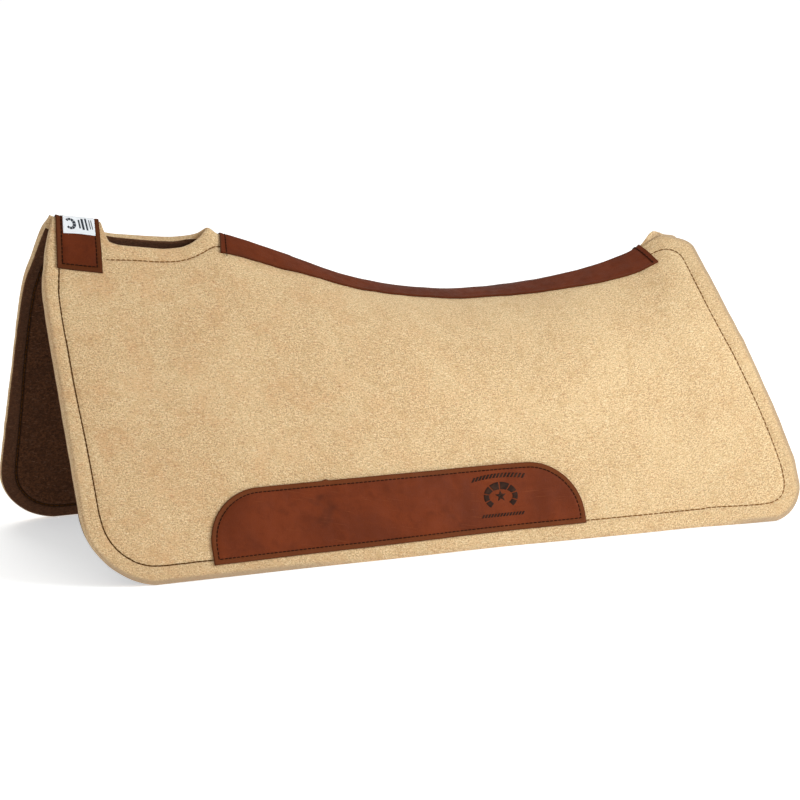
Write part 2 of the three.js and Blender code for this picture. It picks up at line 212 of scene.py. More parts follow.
def through(stations):
    """A smooth curve through stations, which never swings past them."""
    xs, ys = np.array(stations, float).T
    steps = np.diff(ys) / np.diff(xs)
    slopes = np.concatenate([steps[:1], np.zeros(len(steps) - 1), steps[-1:]])
    for i, (before, after) in enumerate(zip(steps, steps[1:]), 1):
        if before * after > 0:
            slopes[i] = 2 * before * after / (before + after)

    def at(x):
        x = np.asarray(x, float)
        i = np.clip(np.searchsorted(xs, x) - 1, 0, len(steps) - 1)
        width = xs[i + 1] - xs[i]
        t = np.clip((x - xs[i]) / width, 0, 1)
        rest = 1 - t
        return (ys[i] * (1 + 2 * t) * rest * rest + slopes[i] * width * t * rest * rest
                + ys[i + 1] * (1 + 2 * rest) * t * t - slopes[i + 1] * width * rest * t * t)
    return at


ridge_height = through(RIDGE_HEIGHT)
ridge_slope = through(RIDGE_SLOPE)
skirt_slope = through(SKIRT_SLOPE)
front_edge = through(FRONT_EDGE)
rear_edge = through(REAR_EDGE)
front_margin = through(FRONT_MARGIN)
rear_margin = through(REAR_MARGIN)
wither = through(OPENING)
strip_width = through(STRIP_WIDTH)


def section(x, s, depth):
    """Distance out from the middle plane and height of a point on a half, in millimetres."""
    start = np.radians(ridge_slope(x))
    end = np.radians(skirt_slope(x))
    arc = np.minimum(s, SHOULDER)
    half = (end - start) * arc / SHOULDER / 2
    chord = arc * np.sinc(half / np.pi)
    slope = start + 2 * half
    straight = np.maximum(s - SHOULDER, 0)
    out = chord * np.cos(start + half) + straight * np.cos(end) - depth * np.sin(slope)
    drop = chord * np.sin(start + half) + straight * np.sin(end) + depth * np.cos(slope)
    return out, ridge_height(x) - drop


def first_where(test, x):
    """For each x, the s where the test turns true, found by halving."""
    x = np.asarray(x, float)
    low, high = np.zeros_like(x), np.full_like(x, BEYOND_HEM)
    for _ in range(HALVINGS):
        middle = (low + high) / 2
        true = test(x, middle)
        high = np.where(true, middle, high)
        low = np.where(true, low, middle)
    return high


def ridge_at(x, depth):
    return first_where(lambda x, s: section(x, s, depth)[0] > BUTT_GAP, x)


def hem_at(x, depth):
    return first_where(lambda x, s: section(x, s, depth)[1] < 0, x)


def stacked(*parts):
    """Arrays and numbers set side by side along a new last axis."""
    return np.stack(np.broadcast_arrays(*parts), -1)


def smooth(t):
    t = np.clip(t, 0, 1)
    return t * t * (3 - 2 * t)


def bell(t):
    return np.exp(-t ** 2)


def waves(seed, wavelength):
    """A smooth random field of about unit height, made of plane waves."""
    count = 16
    rng = np.random.default_rng(seed)
    angles = rng.uniform(0, 2 * np.pi, count)
    lengths = wavelength * rng.uniform(0.7, 1.6, count)
    phases = rng.uniform(0, 2 * np.pi, count)
    kx, ky = 2 * np.pi * np.cos(angles) / lengths, 2 * np.pi * np.sin(angles) / lengths

    def at(x, y):
        x, y = np.broadcast_arrays(np.asarray(x, float), np.asarray(y, float))
        return np.sin(x[..., None] * kx + y[..., None] * ky + phases).sum(-1) / math.sqrt(count / 2)
    return at


long_waves = waves(3, 130)
short_waves = waves(5, 22)
edge_waves = waves(7, 28)


def relief(side, x, s):
    """How far the felt's outer face stands out of its mean shape. It is level near the ridge."""
    return smooth(s / 40) * (0.5 * long_waves(x, side * s) + 0.11 * short_waves(x, side * s))


def rise(side, x, s):
    """How far the felt stands straight up from its shape at a place."""
    return sum(height * bell((x - station) / width) * bell((s - start) / reach)
               for station, width, height, start, reach in RISES[side])


def on_half(side):
    """Places on one half: (x, s, depth) to points in metres."""
    def position(x, s, depth):
        lift = relief(side, x, s) * np.clip(1 - depth / FELT, 0, 1)
        out, up = section(x, s, depth - lift)
        up = up + rise(side, x, s)
        if side == FAR:
            station, width, height, reach = DRAWN_UP
            up = up + height * bell((x - station) / width) * bell(s / reach) * np.clip(depth / PAD, 0, 1)
        return stacked(x, side * out, up) * MM
    return position


def over_ridge(x, q, depth):
    """Places on what lies over the ridge: (x, q, depth) to points in metres."""
    x, q, depth = np.broadcast_arrays(np.asarray(x, float), np.asarray(q, float), depth)
    side = np.where(q > 0, NEAR, FAR)
    slope = np.radians(ridge_slope(x))
    bend = slope * CREST
    s = np.maximum(np.abs(q) - bend, 0)
    lift = np.where(q > 0, relief(NEAR, x, s), relief(FAR, x, s))
    out, up = section(x, s, depth - lift)
    turn = np.clip(np.abs(q) / CREST, 0, slope)
    on_bend = np.abs(q) < bend
    out = np.where(on_bend, -depth * np.sin(turn), out)
    up = np.where(on_bend, ridge_height(x) - depth * np.cos(turn), up)
    up = up + np.where(q > 0, rise(NEAR, x, s), rise(FAR, x, s))
    return stacked(x, side * out, up) * MM


# -------- meshes

LEAST_GAP = 0.2                # between neighbouring points on a side of a grid
BORDER = 2.2                   # a face is level at its border, and pressed or creased from here in


def graded(length, margin, fine, coarse):
    """Fractions from 0 to 1 along a length, close together within the margin at both ends."""
    near_end = np.arange(0, margin, fine)
    middle = np.linspace(margin, length - margin, max(2, round((length - 2 * margin) / coarse) + 1))
    return np.concatenate([near_end, middle, (length - near_end)[::-1]]) / length


def run_length(points):
    """How far along a polyline each of its points lies."""
    return np.concatenate([[0], np.cumsum(np.linalg.norm(np.diff(points, axis=0), axis=1))])


def along(points, fractions):
    """Points at fractions of a polyline's length."""
    points = np.asarray(points, float)
    run = run_length(points)
    return np.stack([np.interp(np.asarray(fractions) * run[-1], run, values) for values in points.T], -1)


def closed(loop):
    return np.concatenate([loop, loop[:1]])


def unit(vectors):
    return vectors / np.linalg.norm(vectors, axis=-1, keepdims=True)


def join_sides(top, right, bottom, left):
    """One closed loop from four sides; top and bottom run to the rear, left and right run down."""
    return np.concatenate([top, right[1:], bottom[::-1][1:], left[::-1][1:-1]])


def in_order(side, axis):
    """A side of a grid whose points rise along one axis by at least LEAST_GAP, between its ends."""
    least = LEAST_GAP * np.arange(len(side))
    values = np.maximum.accumulate(side[:, axis] - least) + least
    side = side.copy()
    side[:, axis] = np.minimum(values, side[-1, axis] - least[::-1])
    return side


def four_sides(loop, wide, high):
    """What join_sides joined, for a grid so many points wide and high."""
    corner = wide + high - 2
    return (loop[:wide], loop[wide - 1:corner + 1], loop[corner:corner + wide][::-1],
            closed(loop)[corner + wide - 1:][::-1])


def unfold(loop, wide, high):
    """A loop whose sides don't double back, as they do in a tight corner that was moved inwards."""
    sides = zip(four_sides(loop, wide, high), (0, 1, 0, 1))
    return join_sides(*(in_order(side, axis) for side, axis in sides))


def fill(loop, columns, rows):
    """A grid of points inside a loop."""
    top, right, bottom, left = four_sides(loop, len(columns), len(rows))
    u, v = columns[None, :, None], rows[:, None, None]
    edges = top[None] * (1 - v) + bottom[None] * v + left[:, None] * (1 - u) + right[:, None] * u
    return edges - (top[0] * (1 - u) * (1 - v) + top[-1] * u * (1 - v)
                    + bottom[0] * (1 - u) * v + bottom[-1] * u * v)


def inward(loop):
    """Unit normals of a loop, into the cloth."""
    step = unit(np.roll(loop, -1, 0) - np.roll(loop, 1, 0))
    return stacked(-step[:, 1], step[:, 0])


def border(rows, columns):
    """Places of a grid's outer points, in the order of its loop."""
    index = np.arange(rows * columns).reshape(rows, columns)
    return np.concatenate([index[0], index[1:, -1], index[-1, ::-1][1:], index[::-1, 0][1:-1]])


def grid_faces(rows, columns, start, flip):
    index = np.arange(rows * columns).reshape(rows, columns) + start
    quads = [index[:-1, :-1], index[1:, :-1], index[1:, 1:], index[:-1, 1:]]
    faces = np.stack(quads, -1).reshape(-1, 4)
    return faces[:, ::-1] if flip else faces


def ring_faces(first, second):
    return stacked(first, np.roll(first, -1), np.roll(second, -1), second)


def facing_out(points, faces):
    """A closed mesh's quads, turned if its volume, from their diagonals, comes out negative."""
    a, b, c, d = (points[faces[:, i]] for i in range(4))
    volume = np.einsum("ij,ij->i", a, np.cross(b, c)) + np.einsum("ij,ij->i", a, np.cross(c, d))
    return faces[:, ::-1] if volume.sum() < 0 else faces


def nearest(places, line):
    """Each place's nearest point on a line of close points, in the plane of the cloth: its index and
    how far away it is."""
    tree = KDTree(len(line))
    for i, (x, s) in enumerate(line):
        tree.insert((x, s, 0), i)
    tree.balance()
    indices, gaps = zip(*(tree.find((x, s, 0))[1:] for x, s in places))
    return np.array(indices), np.array(gaps)


def distances(places, line):
    return nearest(places, line)[1]


def make_object(name, points, faces, skin, cloth, rim=None):
    """A smooth-shaded object. cloth is each point's place on the flat cloth, which the materials
    follow, and rim its distance from the piece's cut edge; both in metres."""
    mesh = bpy.data.meshes.new(name)
    mesh.from_pydata(points.tolist(), [], [list(map(int, face)) for face in faces])
    mesh.polygons.foreach_set("use_smooth", np.ones(len(mesh.polygons), bool))
    mesh.attributes.new("cloth", "FLOAT_VECTOR", "POINT").data.foreach_set("vector", cloth.ravel())
    if rim is not None:
        mesh.attributes.new("rim", "FLOAT", "POINT").data.foreach_set("value", rim)
    mesh.materials.append(skin)
    return new_object(name, mesh)


def make_body(name, loops, columns, rows, position, skin, twist=1, press=None):
    """A closed body of cloth or leather. loops is its profile: (depth, loop) from the outer face's
    border round the edge to the inner face's. press gives how far a face is pulled in at a place."""
    levels = np.array([depth for depth, _ in loops], float)
    loops = [unfold(loop, len(columns), len(rows)) for _, loop in loops]
    outer, inner = (fill(loops[i], columns, rows).reshape(-1, 2) for i in (0, -1))
    parts = [outer, *loops[1:-1], inner]
    places = np.concatenate(parts)
    depths = np.repeat(levels, [len(part) for part in parts])
    rim = distances(places, along(closed(loops[1]), np.linspace(0, 1, 1500)))
    rim[len(outer):-len(inner)] = 0
    pulled = depths.copy()
    if press is not None:
        inwards = np.where(np.arange(len(places)) < len(outer), 1, -1)
        pulled += press(places) * smooth(rim / BORDER) * inwards
    points = position(places[:, 0], places[:, 1], pulled)

    length = len(loops[0])
    starts = len(outer) + length * np.arange(len(loops) - 1)
    brim = border(len(rows), len(columns))
    rings = [brim, *[start + np.arange(length) for start in starts[:-1]], starts[-1] + brim]
    faces = np.concatenate([grid_faces(len(rows), len(columns), 0, False),
                            *[ring_faces(a, b) for a, b in zip(rings, rings[1:])],
                            grid_faces(len(rows), len(columns), starts[-1], True)])
    cloth = stacked(places[:, 0], twist * places[:, 1], depths) * MM
    return make_object(name, points, facing_out(points, faces), skin, cloth, rim * MM)


# -------- outlines

def upper_edge(side, x, depth):
    """How far a half's upper edge lies down the cloth from the ridge line."""
    in_opening = (x > OPENING[0][0]) & (x < OPENING[-1][0])
    cut = np.where(in_opening, wither(x) * OPENING_CUT[side], 0)
    cut = cut - OPENING_BEVEL[side] * depth * np.clip(cut / 6, 0, 1)
    slit = np.clip((x - SLIT_FROM) / (SLIT_TO - SLIT_FROM), 0, 1)
    return np.maximum(ridge_at(x, depth), cut) + SLIT_DEPTH * slit


def top_stations():
    """Stations of the upper edge's points, close together where it turns. Each run has its own step."""
    nose = FRONT_EDGE[0][1]
    runs = [(nose, nose + 26, 2.4), (nose + 26, -322, 4), (-322, -312, 1.1), (-312, -300, 2.4),
            (-300, -220, 4.5), (-220, -192, 2.4), (-192, SLIT_FROM, 5), (SLIT_FROM, SLIT_TO, 2.6)]
    parts = [np.linspace(a, b, max(2, round((b - a) / step) + 1))[:-1] for a, b, step in runs]
    return np.concatenate([*parts, [SLIT_TO]])


STATIONS = top_stations()
COLUMNS = (STATIONS - STATIONS[0]) / (STATIONS[-1] - STATIONS[0])
ROWS = graded(400, 26, 2.4, 5.5)


def corner_arc(middle, radius, outward, depth, angles):
    """Part of a lower corner, which is rounded about a middle one radius above the hem."""
    start = hem_at([middle], depth)[0] - radius
    return stacked(middle + outward * radius * np.cos(angles), start + radius * np.sin(angles))


def half_outline(side, depth):
    """A half's outline at a depth, as one loop of (x, s)."""
    stations = STATIONS.copy()
    stations[0] = front_edge(ridge_at([FRONT_EDGE[0][1]], depth)[0])
    top = stacked(stations, upper_edge(side, stations, depth))

    front_middle = FRONT_EDGE[-1][1] + FRONT_CORNER
    rear_middle = REAR_EDGE[-1][1] - REAR_CORNER
    eighth = np.linspace(0, np.pi / 4, 12)
    front_arc = corner_arc(front_middle, FRONT_CORNER, -1, depth, eighth)
    rear_arc = corner_arc(rear_middle, REAR_CORNER, 1, depth, eighth)

    run = np.linspace(top[0][1], front_arc[0][1], 80)[:-1]
    left = along(np.concatenate([stacked(front_edge(run), run), front_arc]), ROWS)

    t = np.linspace(0, 1, 12)[:-1, None]
    start, turn = np.array(TAIL_START, float), np.array(TAIL_TURN, float)
    end = np.array([REAR_EDGE[0][1], REAR_EDGE[0][0]], float)
    tail = start * (1 - t) ** 2 + 2 * turn * t * (1 - t) + end * t ** 2
    tail[:, 1] = np.maximum(tail[:, 1], upper_edge(side, tail[:, 0], depth))
    run = np.linspace(REAR_EDGE[0][0], rear_arc[0][1], 80)[:-1]
    right = along(np.concatenate([top[-1:], tail, stacked(rear_edge(run), run), rear_arc]), ROWS)

    in_front, behind = STATIONS < OPENING[0][0], STATIONS > SLIT_FROM
    between = ~(in_front | behind)
    stretch = np.linspace(front_middle, rear_middle, between.sum())
    hem = stacked(stretch, hem_at(stretch, depth))
    turned = np.linspace(np.pi / 4, np.pi / 2, in_front.sum() + 1)[:-1]
    front_part = corner_arc(front_middle, FRONT_CORNER, -1, depth, turned)
    turned = np.linspace(np.pi / 2, np.pi / 4, behind.sum() + 1)[1:]
    rear_part = corner_arc(rear_middle, REAR_CORNER, 1, depth, turned)
    return join_sides(top, right, np.concatenate([front_part, hem, rear_part]), left)


def cut_outline(side, depth, inset):
    """The outline as the knife and the seam leave it: a little wavy, aslant at the front, and drawn
    in by the inset, less at the ridge and more at the hem."""
    loop = half_outline(side, depth)
    normal = inward(loop)
    above = loop[:, 1] - ridge_at(loop[:, 0], depth)
    below = hem_at(loop[:, 0], depth) - loop[:, 1]
    free = np.clip(above / 8, 0.1, 1)
    hem = 1 + 0.9 * smooth(1 - below / 30)
    wavy = 0.14 * edge_waves(loop[:, 0], side * loop[:, 1]) * smooth(above / 15)
    wavy *= smooth(below / 15)
    at_front = np.clip(normal[:, 0], 0, 1) ** 2 * smooth((loop[:, 1] - 20) / 70)
    moved = loop + normal * (inset * free * hem + wavy)[:, None]
    moved[:, 0] += (FRONT_TRIM + FRONT_SLANT * (PAD - depth)) * at_front
    if side == NEAR:
        moved[:, 0] += NEAR_FRONT_PARED * smooth((-300 - loop[:, 0]) / 60) * bell(loop[:, 1] / PARED_REACH)
    return moved


def rounding(depth, radius, outer):
    """(depth, inset) steps round a quarter circle, from a face to the edge or from the edge to one."""
    angles = np.linspace(0, np.pi / 2, 5)
    steps = [(radius * (1 - math.cos(a)), radius * (1 - math.sin(a))) for a in angles]
    if outer:
        return [(depth + down, inset) for down, inset in steps]
    return [(depth - down, inset) for down, inset in reversed(steps)]


# -------- seams

def seam_line(side):
    """The outline moved in by the seam's margin, without what a tight corner would leave too near
    the edge, and smoothed."""
    loop = half_outline(side, 0)
    under_strap = (loop[:, 0] > STRAP_MIDDLE) & (loop[:, 0] < OPENING[2][0]) & (loop[:, 1] < 60)
    loop[under_strap, 1] = OPENING_CUT[side] * OPENING[3][1]
    edge = along(closed(loop), np.linspace(0, 1, 900))[:-1]
    normal = inward(edge)
    share = np.clip(np.stack([normal[:, 0], -normal[:, 0], -normal[:, 1], normal[:, 1]]), 0, 1) ** 2
    margin = (share[0] * (front_margin(edge[:, 1]) - FAR_FRONT_LESS * (side == FAR))
              + share[1] * rear_margin(edge[:, 1])
              + share[2] * HEM_MARGIN + share[3] * OPENING_MARGIN)
    moved = edge + normal * margin[:, None]
    line = moved[distances(moved, edge) > 0.96 * margin]
    line = along(closed(line), np.linspace(0, 1, 1200))[:-1]
    for _ in range(SEAM_SMOOTHINGS):
        line = (np.roll(line, 1, 0) + 2 * line + np.roll(line, -1, 0)) / 4
    return line


def run_of(line, keep):
    """The one stretch of a closed line where keep is true, from its start."""
    kept = keep(line[:, 0], line[:, 1])
    first = np.flatnonzero(kept & ~np.roll(kept, 1))[0]
    turned = np.roll(np.arange(len(line)), -first)
    stop = np.flatnonzero(~kept[turned])[0]
    return line[turned[:stop]]


SEAMS = {side: seam_line(side) for side in HALVES.values()}
RUNS = {
    "front": lambda x, s: (x < PATCH_FRONT + 1) & (s > STRAP_REACH - 6),
    "opening": lambda x, s: (x > -325) & (x < STRIP_FRONT + 3) & (s < 80),
    "rear": lambda x, s: (x > PATCH_REAR - 1) & ((s > SHOULDER) | (x > STRIP_REAR + 3)),
}
LINES = {(side, name): run_of(SEAMS[side], keep) for side in HALVES.values()
         for name, keep in RUNS.items()}


def make_stitches(name, line, position, depth, pitch, radius, skin, sunk=0.0, seed=1,
                  cover=0.98, count=None):
    """A row of single stitches along a line on the cloth, which cover this share of it: one for each
    pitch, or count of them. Each goes into the cloth at both ends."""
    flat = along(line, np.linspace(0, 1, 2000))
    run = run_length(position(flat[:, 0], flat[:, 1], depth))
    count = count or round(run[-1] / (pitch * MM))
    rng = np.random.default_rng(seed)
    middles = (np.arange(count) + 0.5 + rng.uniform(-0.04, 0.04, count)) * run[-1] / count
    reach = cover / 2 * run[-1] / count * rng.uniform(0.95, 1.0, count)
    t = np.linspace(-1, 1, STITCH_STEPS)
    spots = np.clip(middles[:, None] + reach[:, None] * t, 0, run[-1])
    x, s = (np.interp(spots, run, values) for values in flat.T)
    base = position(x, s, depth + sunk)
    normal = unit(position(x, s, depth + sunk - 1) - base)
    arch = np.cos(t * np.pi / 2) ** 0.6
    base = base + normal * (radius * MM * (1.75 * arch - 0.95))[None, :, None]
    ahead = unit(np.gradient(base, axis=1))
    across = unit(np.cross(ahead, normal))
    raised = np.cross(across, ahead)
    turn = 2 * np.pi * np.arange(STITCH_SIDES) / STITCH_SIDES
    thick = radius * MM * (0.72 + 0.28 * arch)
    ring = across[:, :, None] * np.cos(turn)[:, None] + raised[:, :, None] * np.sin(turn)[:, None]
    points = (base[:, :, None] + ring * thick[None, :, None, None]).reshape(-1, 3)

    index = np.arange(len(points)).reshape(count, STITCH_STEPS, STITCH_SIDES)
    a, b = index[:, :-1], index[:, 1:]
    tube = stacked(a, b, np.roll(b, -1, 2), np.roll(a, -1, 2)).reshape(-1, 4)
    layers = 0.01 * np.arange(count)[:, None, None]
    cloth = stacked(spots[:, :, None], turn * radius * MM, layers).reshape(-1, 3)
    return make_object(name, points, [*tube.tolist(), *index[:, 0], *index[:, -1, ::-1]], skin, cloth)


# -------- materials

class Paint:
    """A material's node tree, with a short call for each kind of node it needs. Its colours are red,
    green and blue, all multiplied by lift."""

    def __init__(self, name, lift=1.0, **constants):
        self.material = bpy.data.materials.new(name)
        self.material.use_nodes = True
        self.tree = self.material.node_tree
        self.shader = self.tree.nodes["Principled BSDF"]
        self.lift = lift
        for socket, value in constants.items():
            self.shader.inputs[socket.replace("_", " ")].default_value = value

    def add(self, kind, inputs=(), **settings):
        node = self.tree.nodes.new(kind)
        for key, value in settings.items():
            setattr(node, key, value)
        for socket, value in dict(inputs).items():
            if isinstance(value, bpy.types.NodeSocket):
                self.tree.links.new(value, node.inputs[socket])
            else:
                node.inputs[socket].default_value = value
        return node

    def attribute(self, name, output="Fac"):
        return self.add("ShaderNodeAttribute", attribute_name=name).outputs[output]

    def cloth(self):
        """The place on the flat cloth, which every pattern follows."""
        return self.attribute("cloth", "Vector")

    def stretched(self, vector, scale, turn):
        inputs = {"Vector": vector, "Scale": scale, "Rotation": (0, 0, math.radians(turn))}
        return self.add("ShaderNodeMapping", inputs).outputs["Vector"]

    def noise(self, vector, scale, detail=3.0, roughness=0.6, distortion=0.0):
        inputs = {"Vector": vector, "Scale": scale, "Detail": detail, "Roughness": roughness,
                  "Distortion": distortion}
        return self.add("ShaderNodeTexNoise", inputs).outputs["Fac"]

    def wave(self, vector, scale, distortion, direction="X"):
        inputs = {"Vector": vector, "Scale": scale, "Distortion": distortion}
        return self.add("ShaderNodeTexWave", inputs, bands_direction=direction).outputs["Fac"]

    def span(self, value, low, high, to_low=0.0, to_high=1.0):
        inputs = {"Value": value, "From Min": low, "From Max": high, "To Min": to_low, "To Max": to_high}
        return self.add("ShaderNodeMapRange", inputs, interpolation_type="SMOOTHSTEP").outputs["Result"]

    def math(self, operation, a, b=0.0):
        return self.add("ShaderNodeMath", {0: a, 1: b}, operation=operation).outputs["Value"]

    def times(self, a, b):
        return self.math("MULTIPLY", a, b)

    def part(self, vector, axis):
        return self.add("ShaderNodeSeparateXYZ", {"Vector": vector}).outputs[axis]

    def fibres(self, vector, turn, long_side, thin_side, low, high):
        """Sparse short fibres that lie one way."""
        lying = self.stretched(vector, (1 / long_side, 1 / thin_side, 1 / thin_side), turn)
        return self.span(self.noise(lying, 1.0, 1.0, 0.4, 0.6), low, high)

    def seam_line(self, strength, width=0.0012):
        """The dark line along a seam: its thread and pulled-in fibres, and painted shade in the seam's
        groove.
        """
        gap = self.math("ABSOLUTE", self.attribute("seam"))
        return self.span(gap, width / 4, width, strength, 0.0)

    def mix(self, share, a, b):
        return self.add("ShaderNodeMix", {0: share, 6: a, 7: b}, data_type="RGBA").outputs[2]

    def tone(self, colour):
        return (*(self.lift * part for part in colour), 1)

    def ground(self, share, dark, light):
        self.base = self.mix(share, self.tone(dark), self.tone(light))

    def lay(self, share, colour, strength=None):
        """Lays a colour over what is there so far."""
        if strength is not None:
            share = self.times(share, strength)
        self.base = self.mix(share, self.base, self.tone(colour))

    def done(self, *heights, roughness=None):
        """Joins what was laid to the shader. heights are (socket, height in metres), one over the other."""
        self.tree.links.new(self.base, self.shader.inputs["Base Color"])
        if roughness is not None:
            self.tree.links.new(roughness, self.shader.inputs["Roughness"])
        for i, (socket, height) in enumerate(heights):
            inputs = {"Height": socket, "Distance": height, "Strength": 1.0}
            if i > 0:
                inputs["Normal"] = normal
            normal = self.add("ShaderNodeBump", inputs).outputs["Normal"]
        self.tree.links.new(normal, self.shader.inputs["Normal"])
        return self.material


def tan_felt():
    """Pressed tan wool: a fine grain, rustier towards the front, with red, grey and pale fibres."""
    paint = Paint("tan_felt", Roughness=0.94, Sheen_Weight=0.30, Sheen_Roughness=0.45,
                  Sheen_Tint=(1.0, 0.88, 0.62, 1), Specular_IOR_Level=0.12)
    cloth = paint.cloth()
    station = paint.part(cloth, "X")
    down = paint.math("ABSOLUTE", paint.part(cloth, "Y"))
    rim = paint.attribute("rim")
    grain = paint.noise(cloth, 640, 3.0, 0.7)
    blotch = paint.noise(cloth, 75, 4.0, 0.7)
    broad = paint.noise(cloth, 13, 4.0)
    rusty = paint.noise(cloth, 34, 3.0, 0.6, 0.3)
    paint.ground(paint.span(grain, 0.34, 0.66), (0.40, 0.245, 0.115), (0.84, 0.62, 0.36))
    to_front = paint.span(station, -0.38, 0.22, 1, 0.25)
    paint.lay(paint.span(rusty, 0.42, 0.70, 0.06, 0.58), (0.60, 0.335, 0.160), to_front)
    paint.lay(paint.span(blotch, 0.46, 0.68, 0, 0.50), (0.52, 0.325, 0.155))
    paint.lay(paint.span(broad, 0.42, 0.64, 0, 0.20), (0.79, 0.60, 0.35))
    red = paint.fibres(cloth, 12, 0.0052, 0.0011, 0.60, 0.70)
    grey = paint.fibres(cloth, 108, 0.0042, 0.0010, 0.62, 0.72)
    pale = paint.fibres(cloth, 160, 0.0044, 0.0009, 0.59, 0.69)
    paint.lay(red, (0.46, 0.21, 0.09), 0.50)
    paint.lay(grey, (0.27, 0.20, 0.11), 0.40)
    paint.lay(pale, (0.97, 0.82, 0.54), 0.40)
    clumps = paint.span(paint.noise(cloth, 430, 2.0, 0.5), 0.60, 0.66)
    paint.lay(clumps, (0.33, 0.17, 0.08), 0.60)
    specks = paint.span(paint.noise(cloth, 600, 1.0, 0.4), 0.69, 0.75)
    paint.lay(specks, (0.20, 0.10, 0.05), 0.65)

    # Painted shade on the felt's rounded edges and on its margin outside the seam: most of it on the hem and
    # behind the rear seam, a little on every edge
    behind = paint.span(station, 0.300, 0.345)
    low_or_behind = paint.math("MAXIMUM", paint.span(down, 0.355, 0.385), behind)
    paint.lay(paint.span(rim, 0.0003, 0.0048, 0.78, 0), (0.32, 0.23, 0.16), low_or_behind)
    # painted shade on the margin outside the seam, on the hem and at the rear
    outside = paint.span(paint.attribute("seam"), -0.009, 0.001, 0.20, 0)
    paint.lay(outside, (0.50, 0.33, 0.18), low_or_behind)
    # painted shade on the rounding of every edge
    paint.lay(paint.span(rim, 0.0004, 0.0030, 0.22, 0), (0.42, 0.29, 0.18))

    # The seam's line: thread and fibres with painted shade of its groove, darkest along the front, where more
    # shade is painted
    front = paint.times(paint.span(station, -0.29, -0.20, 1, 0), paint.span(down, 0.050, 0.064))
    paint.lay(paint.seam_line(0.24), (0.17, 0.085, 0.035))
    paint.lay(paint.seam_line(0.9), (0.066, 0.023, 0.003), front)
    fuzz = paint.noise(cloth, 1400, 4.0, 0.7)
    tufts = paint.math("ADD", paint.times(pale, 0.5), paint.times(red, 0.4))
    return paint.done((blotch, 0.0012), (fuzz, 0.0008), (tufts, 0.0003))


def brown_felt():
    """Needled dark brown wool with pale dust in it. Painted light makes it a little lighter outside its seam,
    and painted shade darkens the seam's groove.
    """
    paint = Paint("brown_felt", Roughness=0.97, Sheen_Weight=0.10, Sheen_Roughness=0.5,
                  Sheen_Tint=(0.75, 0.45, 0.30, 1), Specular_IOR_Level=0.05)
    cloth = paint.cloth()
    grain = paint.noise(cloth, 430, 4.0, 0.7)
    blotch = paint.noise(cloth, 40)
    paint.ground(paint.span(grain, 0.35, 0.68), (0.030, 0.010, 0.004), (0.098, 0.038, 0.016))
    paint.lay(paint.span(blotch, 0.42, 0.72, 0, 0.45), (0.040, 0.015, 0.007))
    dust = paint.fibres(cloth, 40, 0.0065, 0.0009, 0.63, 0.72)
    paint.lay(dust, (0.20, 0.11, 0.07), 0.45)
    # painted light: the band outside the seam drawn lighter than the shaded inside
    paint.lay(paint.span(paint.attribute("seam"), -0.002, 0.001, 0.30, 0), (0.11, 0.052, 0.030))
    # the seam's dark line: thread with painted shade of its deep groove
    paint.lay(paint.seam_line(0.92, 0.0030), (0.006, 0.0025, 0.0015))
    fuzz = paint.noise(cloth, 1200, 4.0, 0.7)
    return paint.done((blotch, 0.0010), (fuzz, 0.0009), (dust, 0.0002))


def saddle_leather(name, lift=1.0, band=True):
    """Oiled reddish-brown leather: faintly mottled, darker where it was handled, with an olive-brown
    border outside its stitches if it has a band of them."""
    paint = Paint(name, lift, Specular_IOR_Level=0.06)
    cloth = paint.cloth()
    rim = paint.attribute("rim")
    cloud = paint.noise(cloth, 17, 4.0, 0.62, 0.4)
    mottle = paint.noise(cloth, 95, 4.0, 0.65, 0.3)
    grain = paint.add("ShaderNodeTexVoronoi", {"Vector": cloth, "Scale": 1150}).outputs["Distance"]
    paint.ground(paint.span(cloud, 0.36, 0.66), (0.108, 0.0205, 0.0055), (0.148, 0.0280, 0.0072))
    paint.lay(paint.span(mottle, 0.50, 0.74, 0, 0.40), (0.088, 0.0175, 0.0055))
    smudge = paint.noise(paint.stretched(cloth, (1, 1.6, 1), 12), 11, 3.0, 0.6, 0.8)
    paint.lay(paint.span(smudge, 0.60, 0.76, 0, 0.60), (0.048, 0.0125, 0.0055))
    scuff = paint.fibres(cloth, 8, 0.030, 0.0016, 0.68, 0.76)
    paint.lay(scuff, (0.26, 0.075, 0.026), 0.14)
    if band:
        paint.lay(paint.span(rim, 0.0043, 0.0053, 1, 0), (0.118, 0.0325, 0.0085), 0.70)
    paint.lay(paint.span(rim, 0.0002, 0.0010, 1, 0), (0.075, 0.0235, 0.0085), 0.45)
    pores = paint.noise(cloth, 1900, 2.0, 0.5)
    dull = paint.span(mottle, 0.3, 0.7, 0.44, 0.60)
    return paint.done((mottle, 0.0004), (grain, 0.00016), (pores, 0.00008), (scuff, 0.00005),
                      roughness=paint.math("ADD", dull, paint.span(cloud, 0.3, 0.7, -0.03, 0.05)))


def waxed_thread(name, dark, light):
    paint = Paint(name, Roughness=0.85, Specular_IOR_Level=0.03)
    run = paint.cloth()
    twist = paint.wave(paint.stretched(run, (1, 1, 1), 38), 480.0, 0.6)
    worn = paint.span(paint.noise(run, 220, 2.0, 0.5), 0.3, 0.7, 0.5, 1)
    paint.ground(paint.times(twist, worn), dark, light)
    return paint.done((twist, 0.0001))


def woven_cloth(name, dark, light, soiled):
    """Ribbon with a fine plain weave."""
    paint = Paint(name, Roughness=0.8, Sheen_Weight=0.2, Specular_IOR_Level=0.2)
    cloth = paint.cloth()
    weave = paint.times(paint.wave(cloth, 420.0, 0.4), paint.wave(cloth, 330.0, 0.4, "Y"))
    paint.ground(paint.span(weave, 0.0, 0.8), dark, light)
    paint.lay(paint.span(paint.noise(cloth, 130), 0.5, 0.75, 0, 0.35), soiled)
    return paint.done((weave, 0.00018))


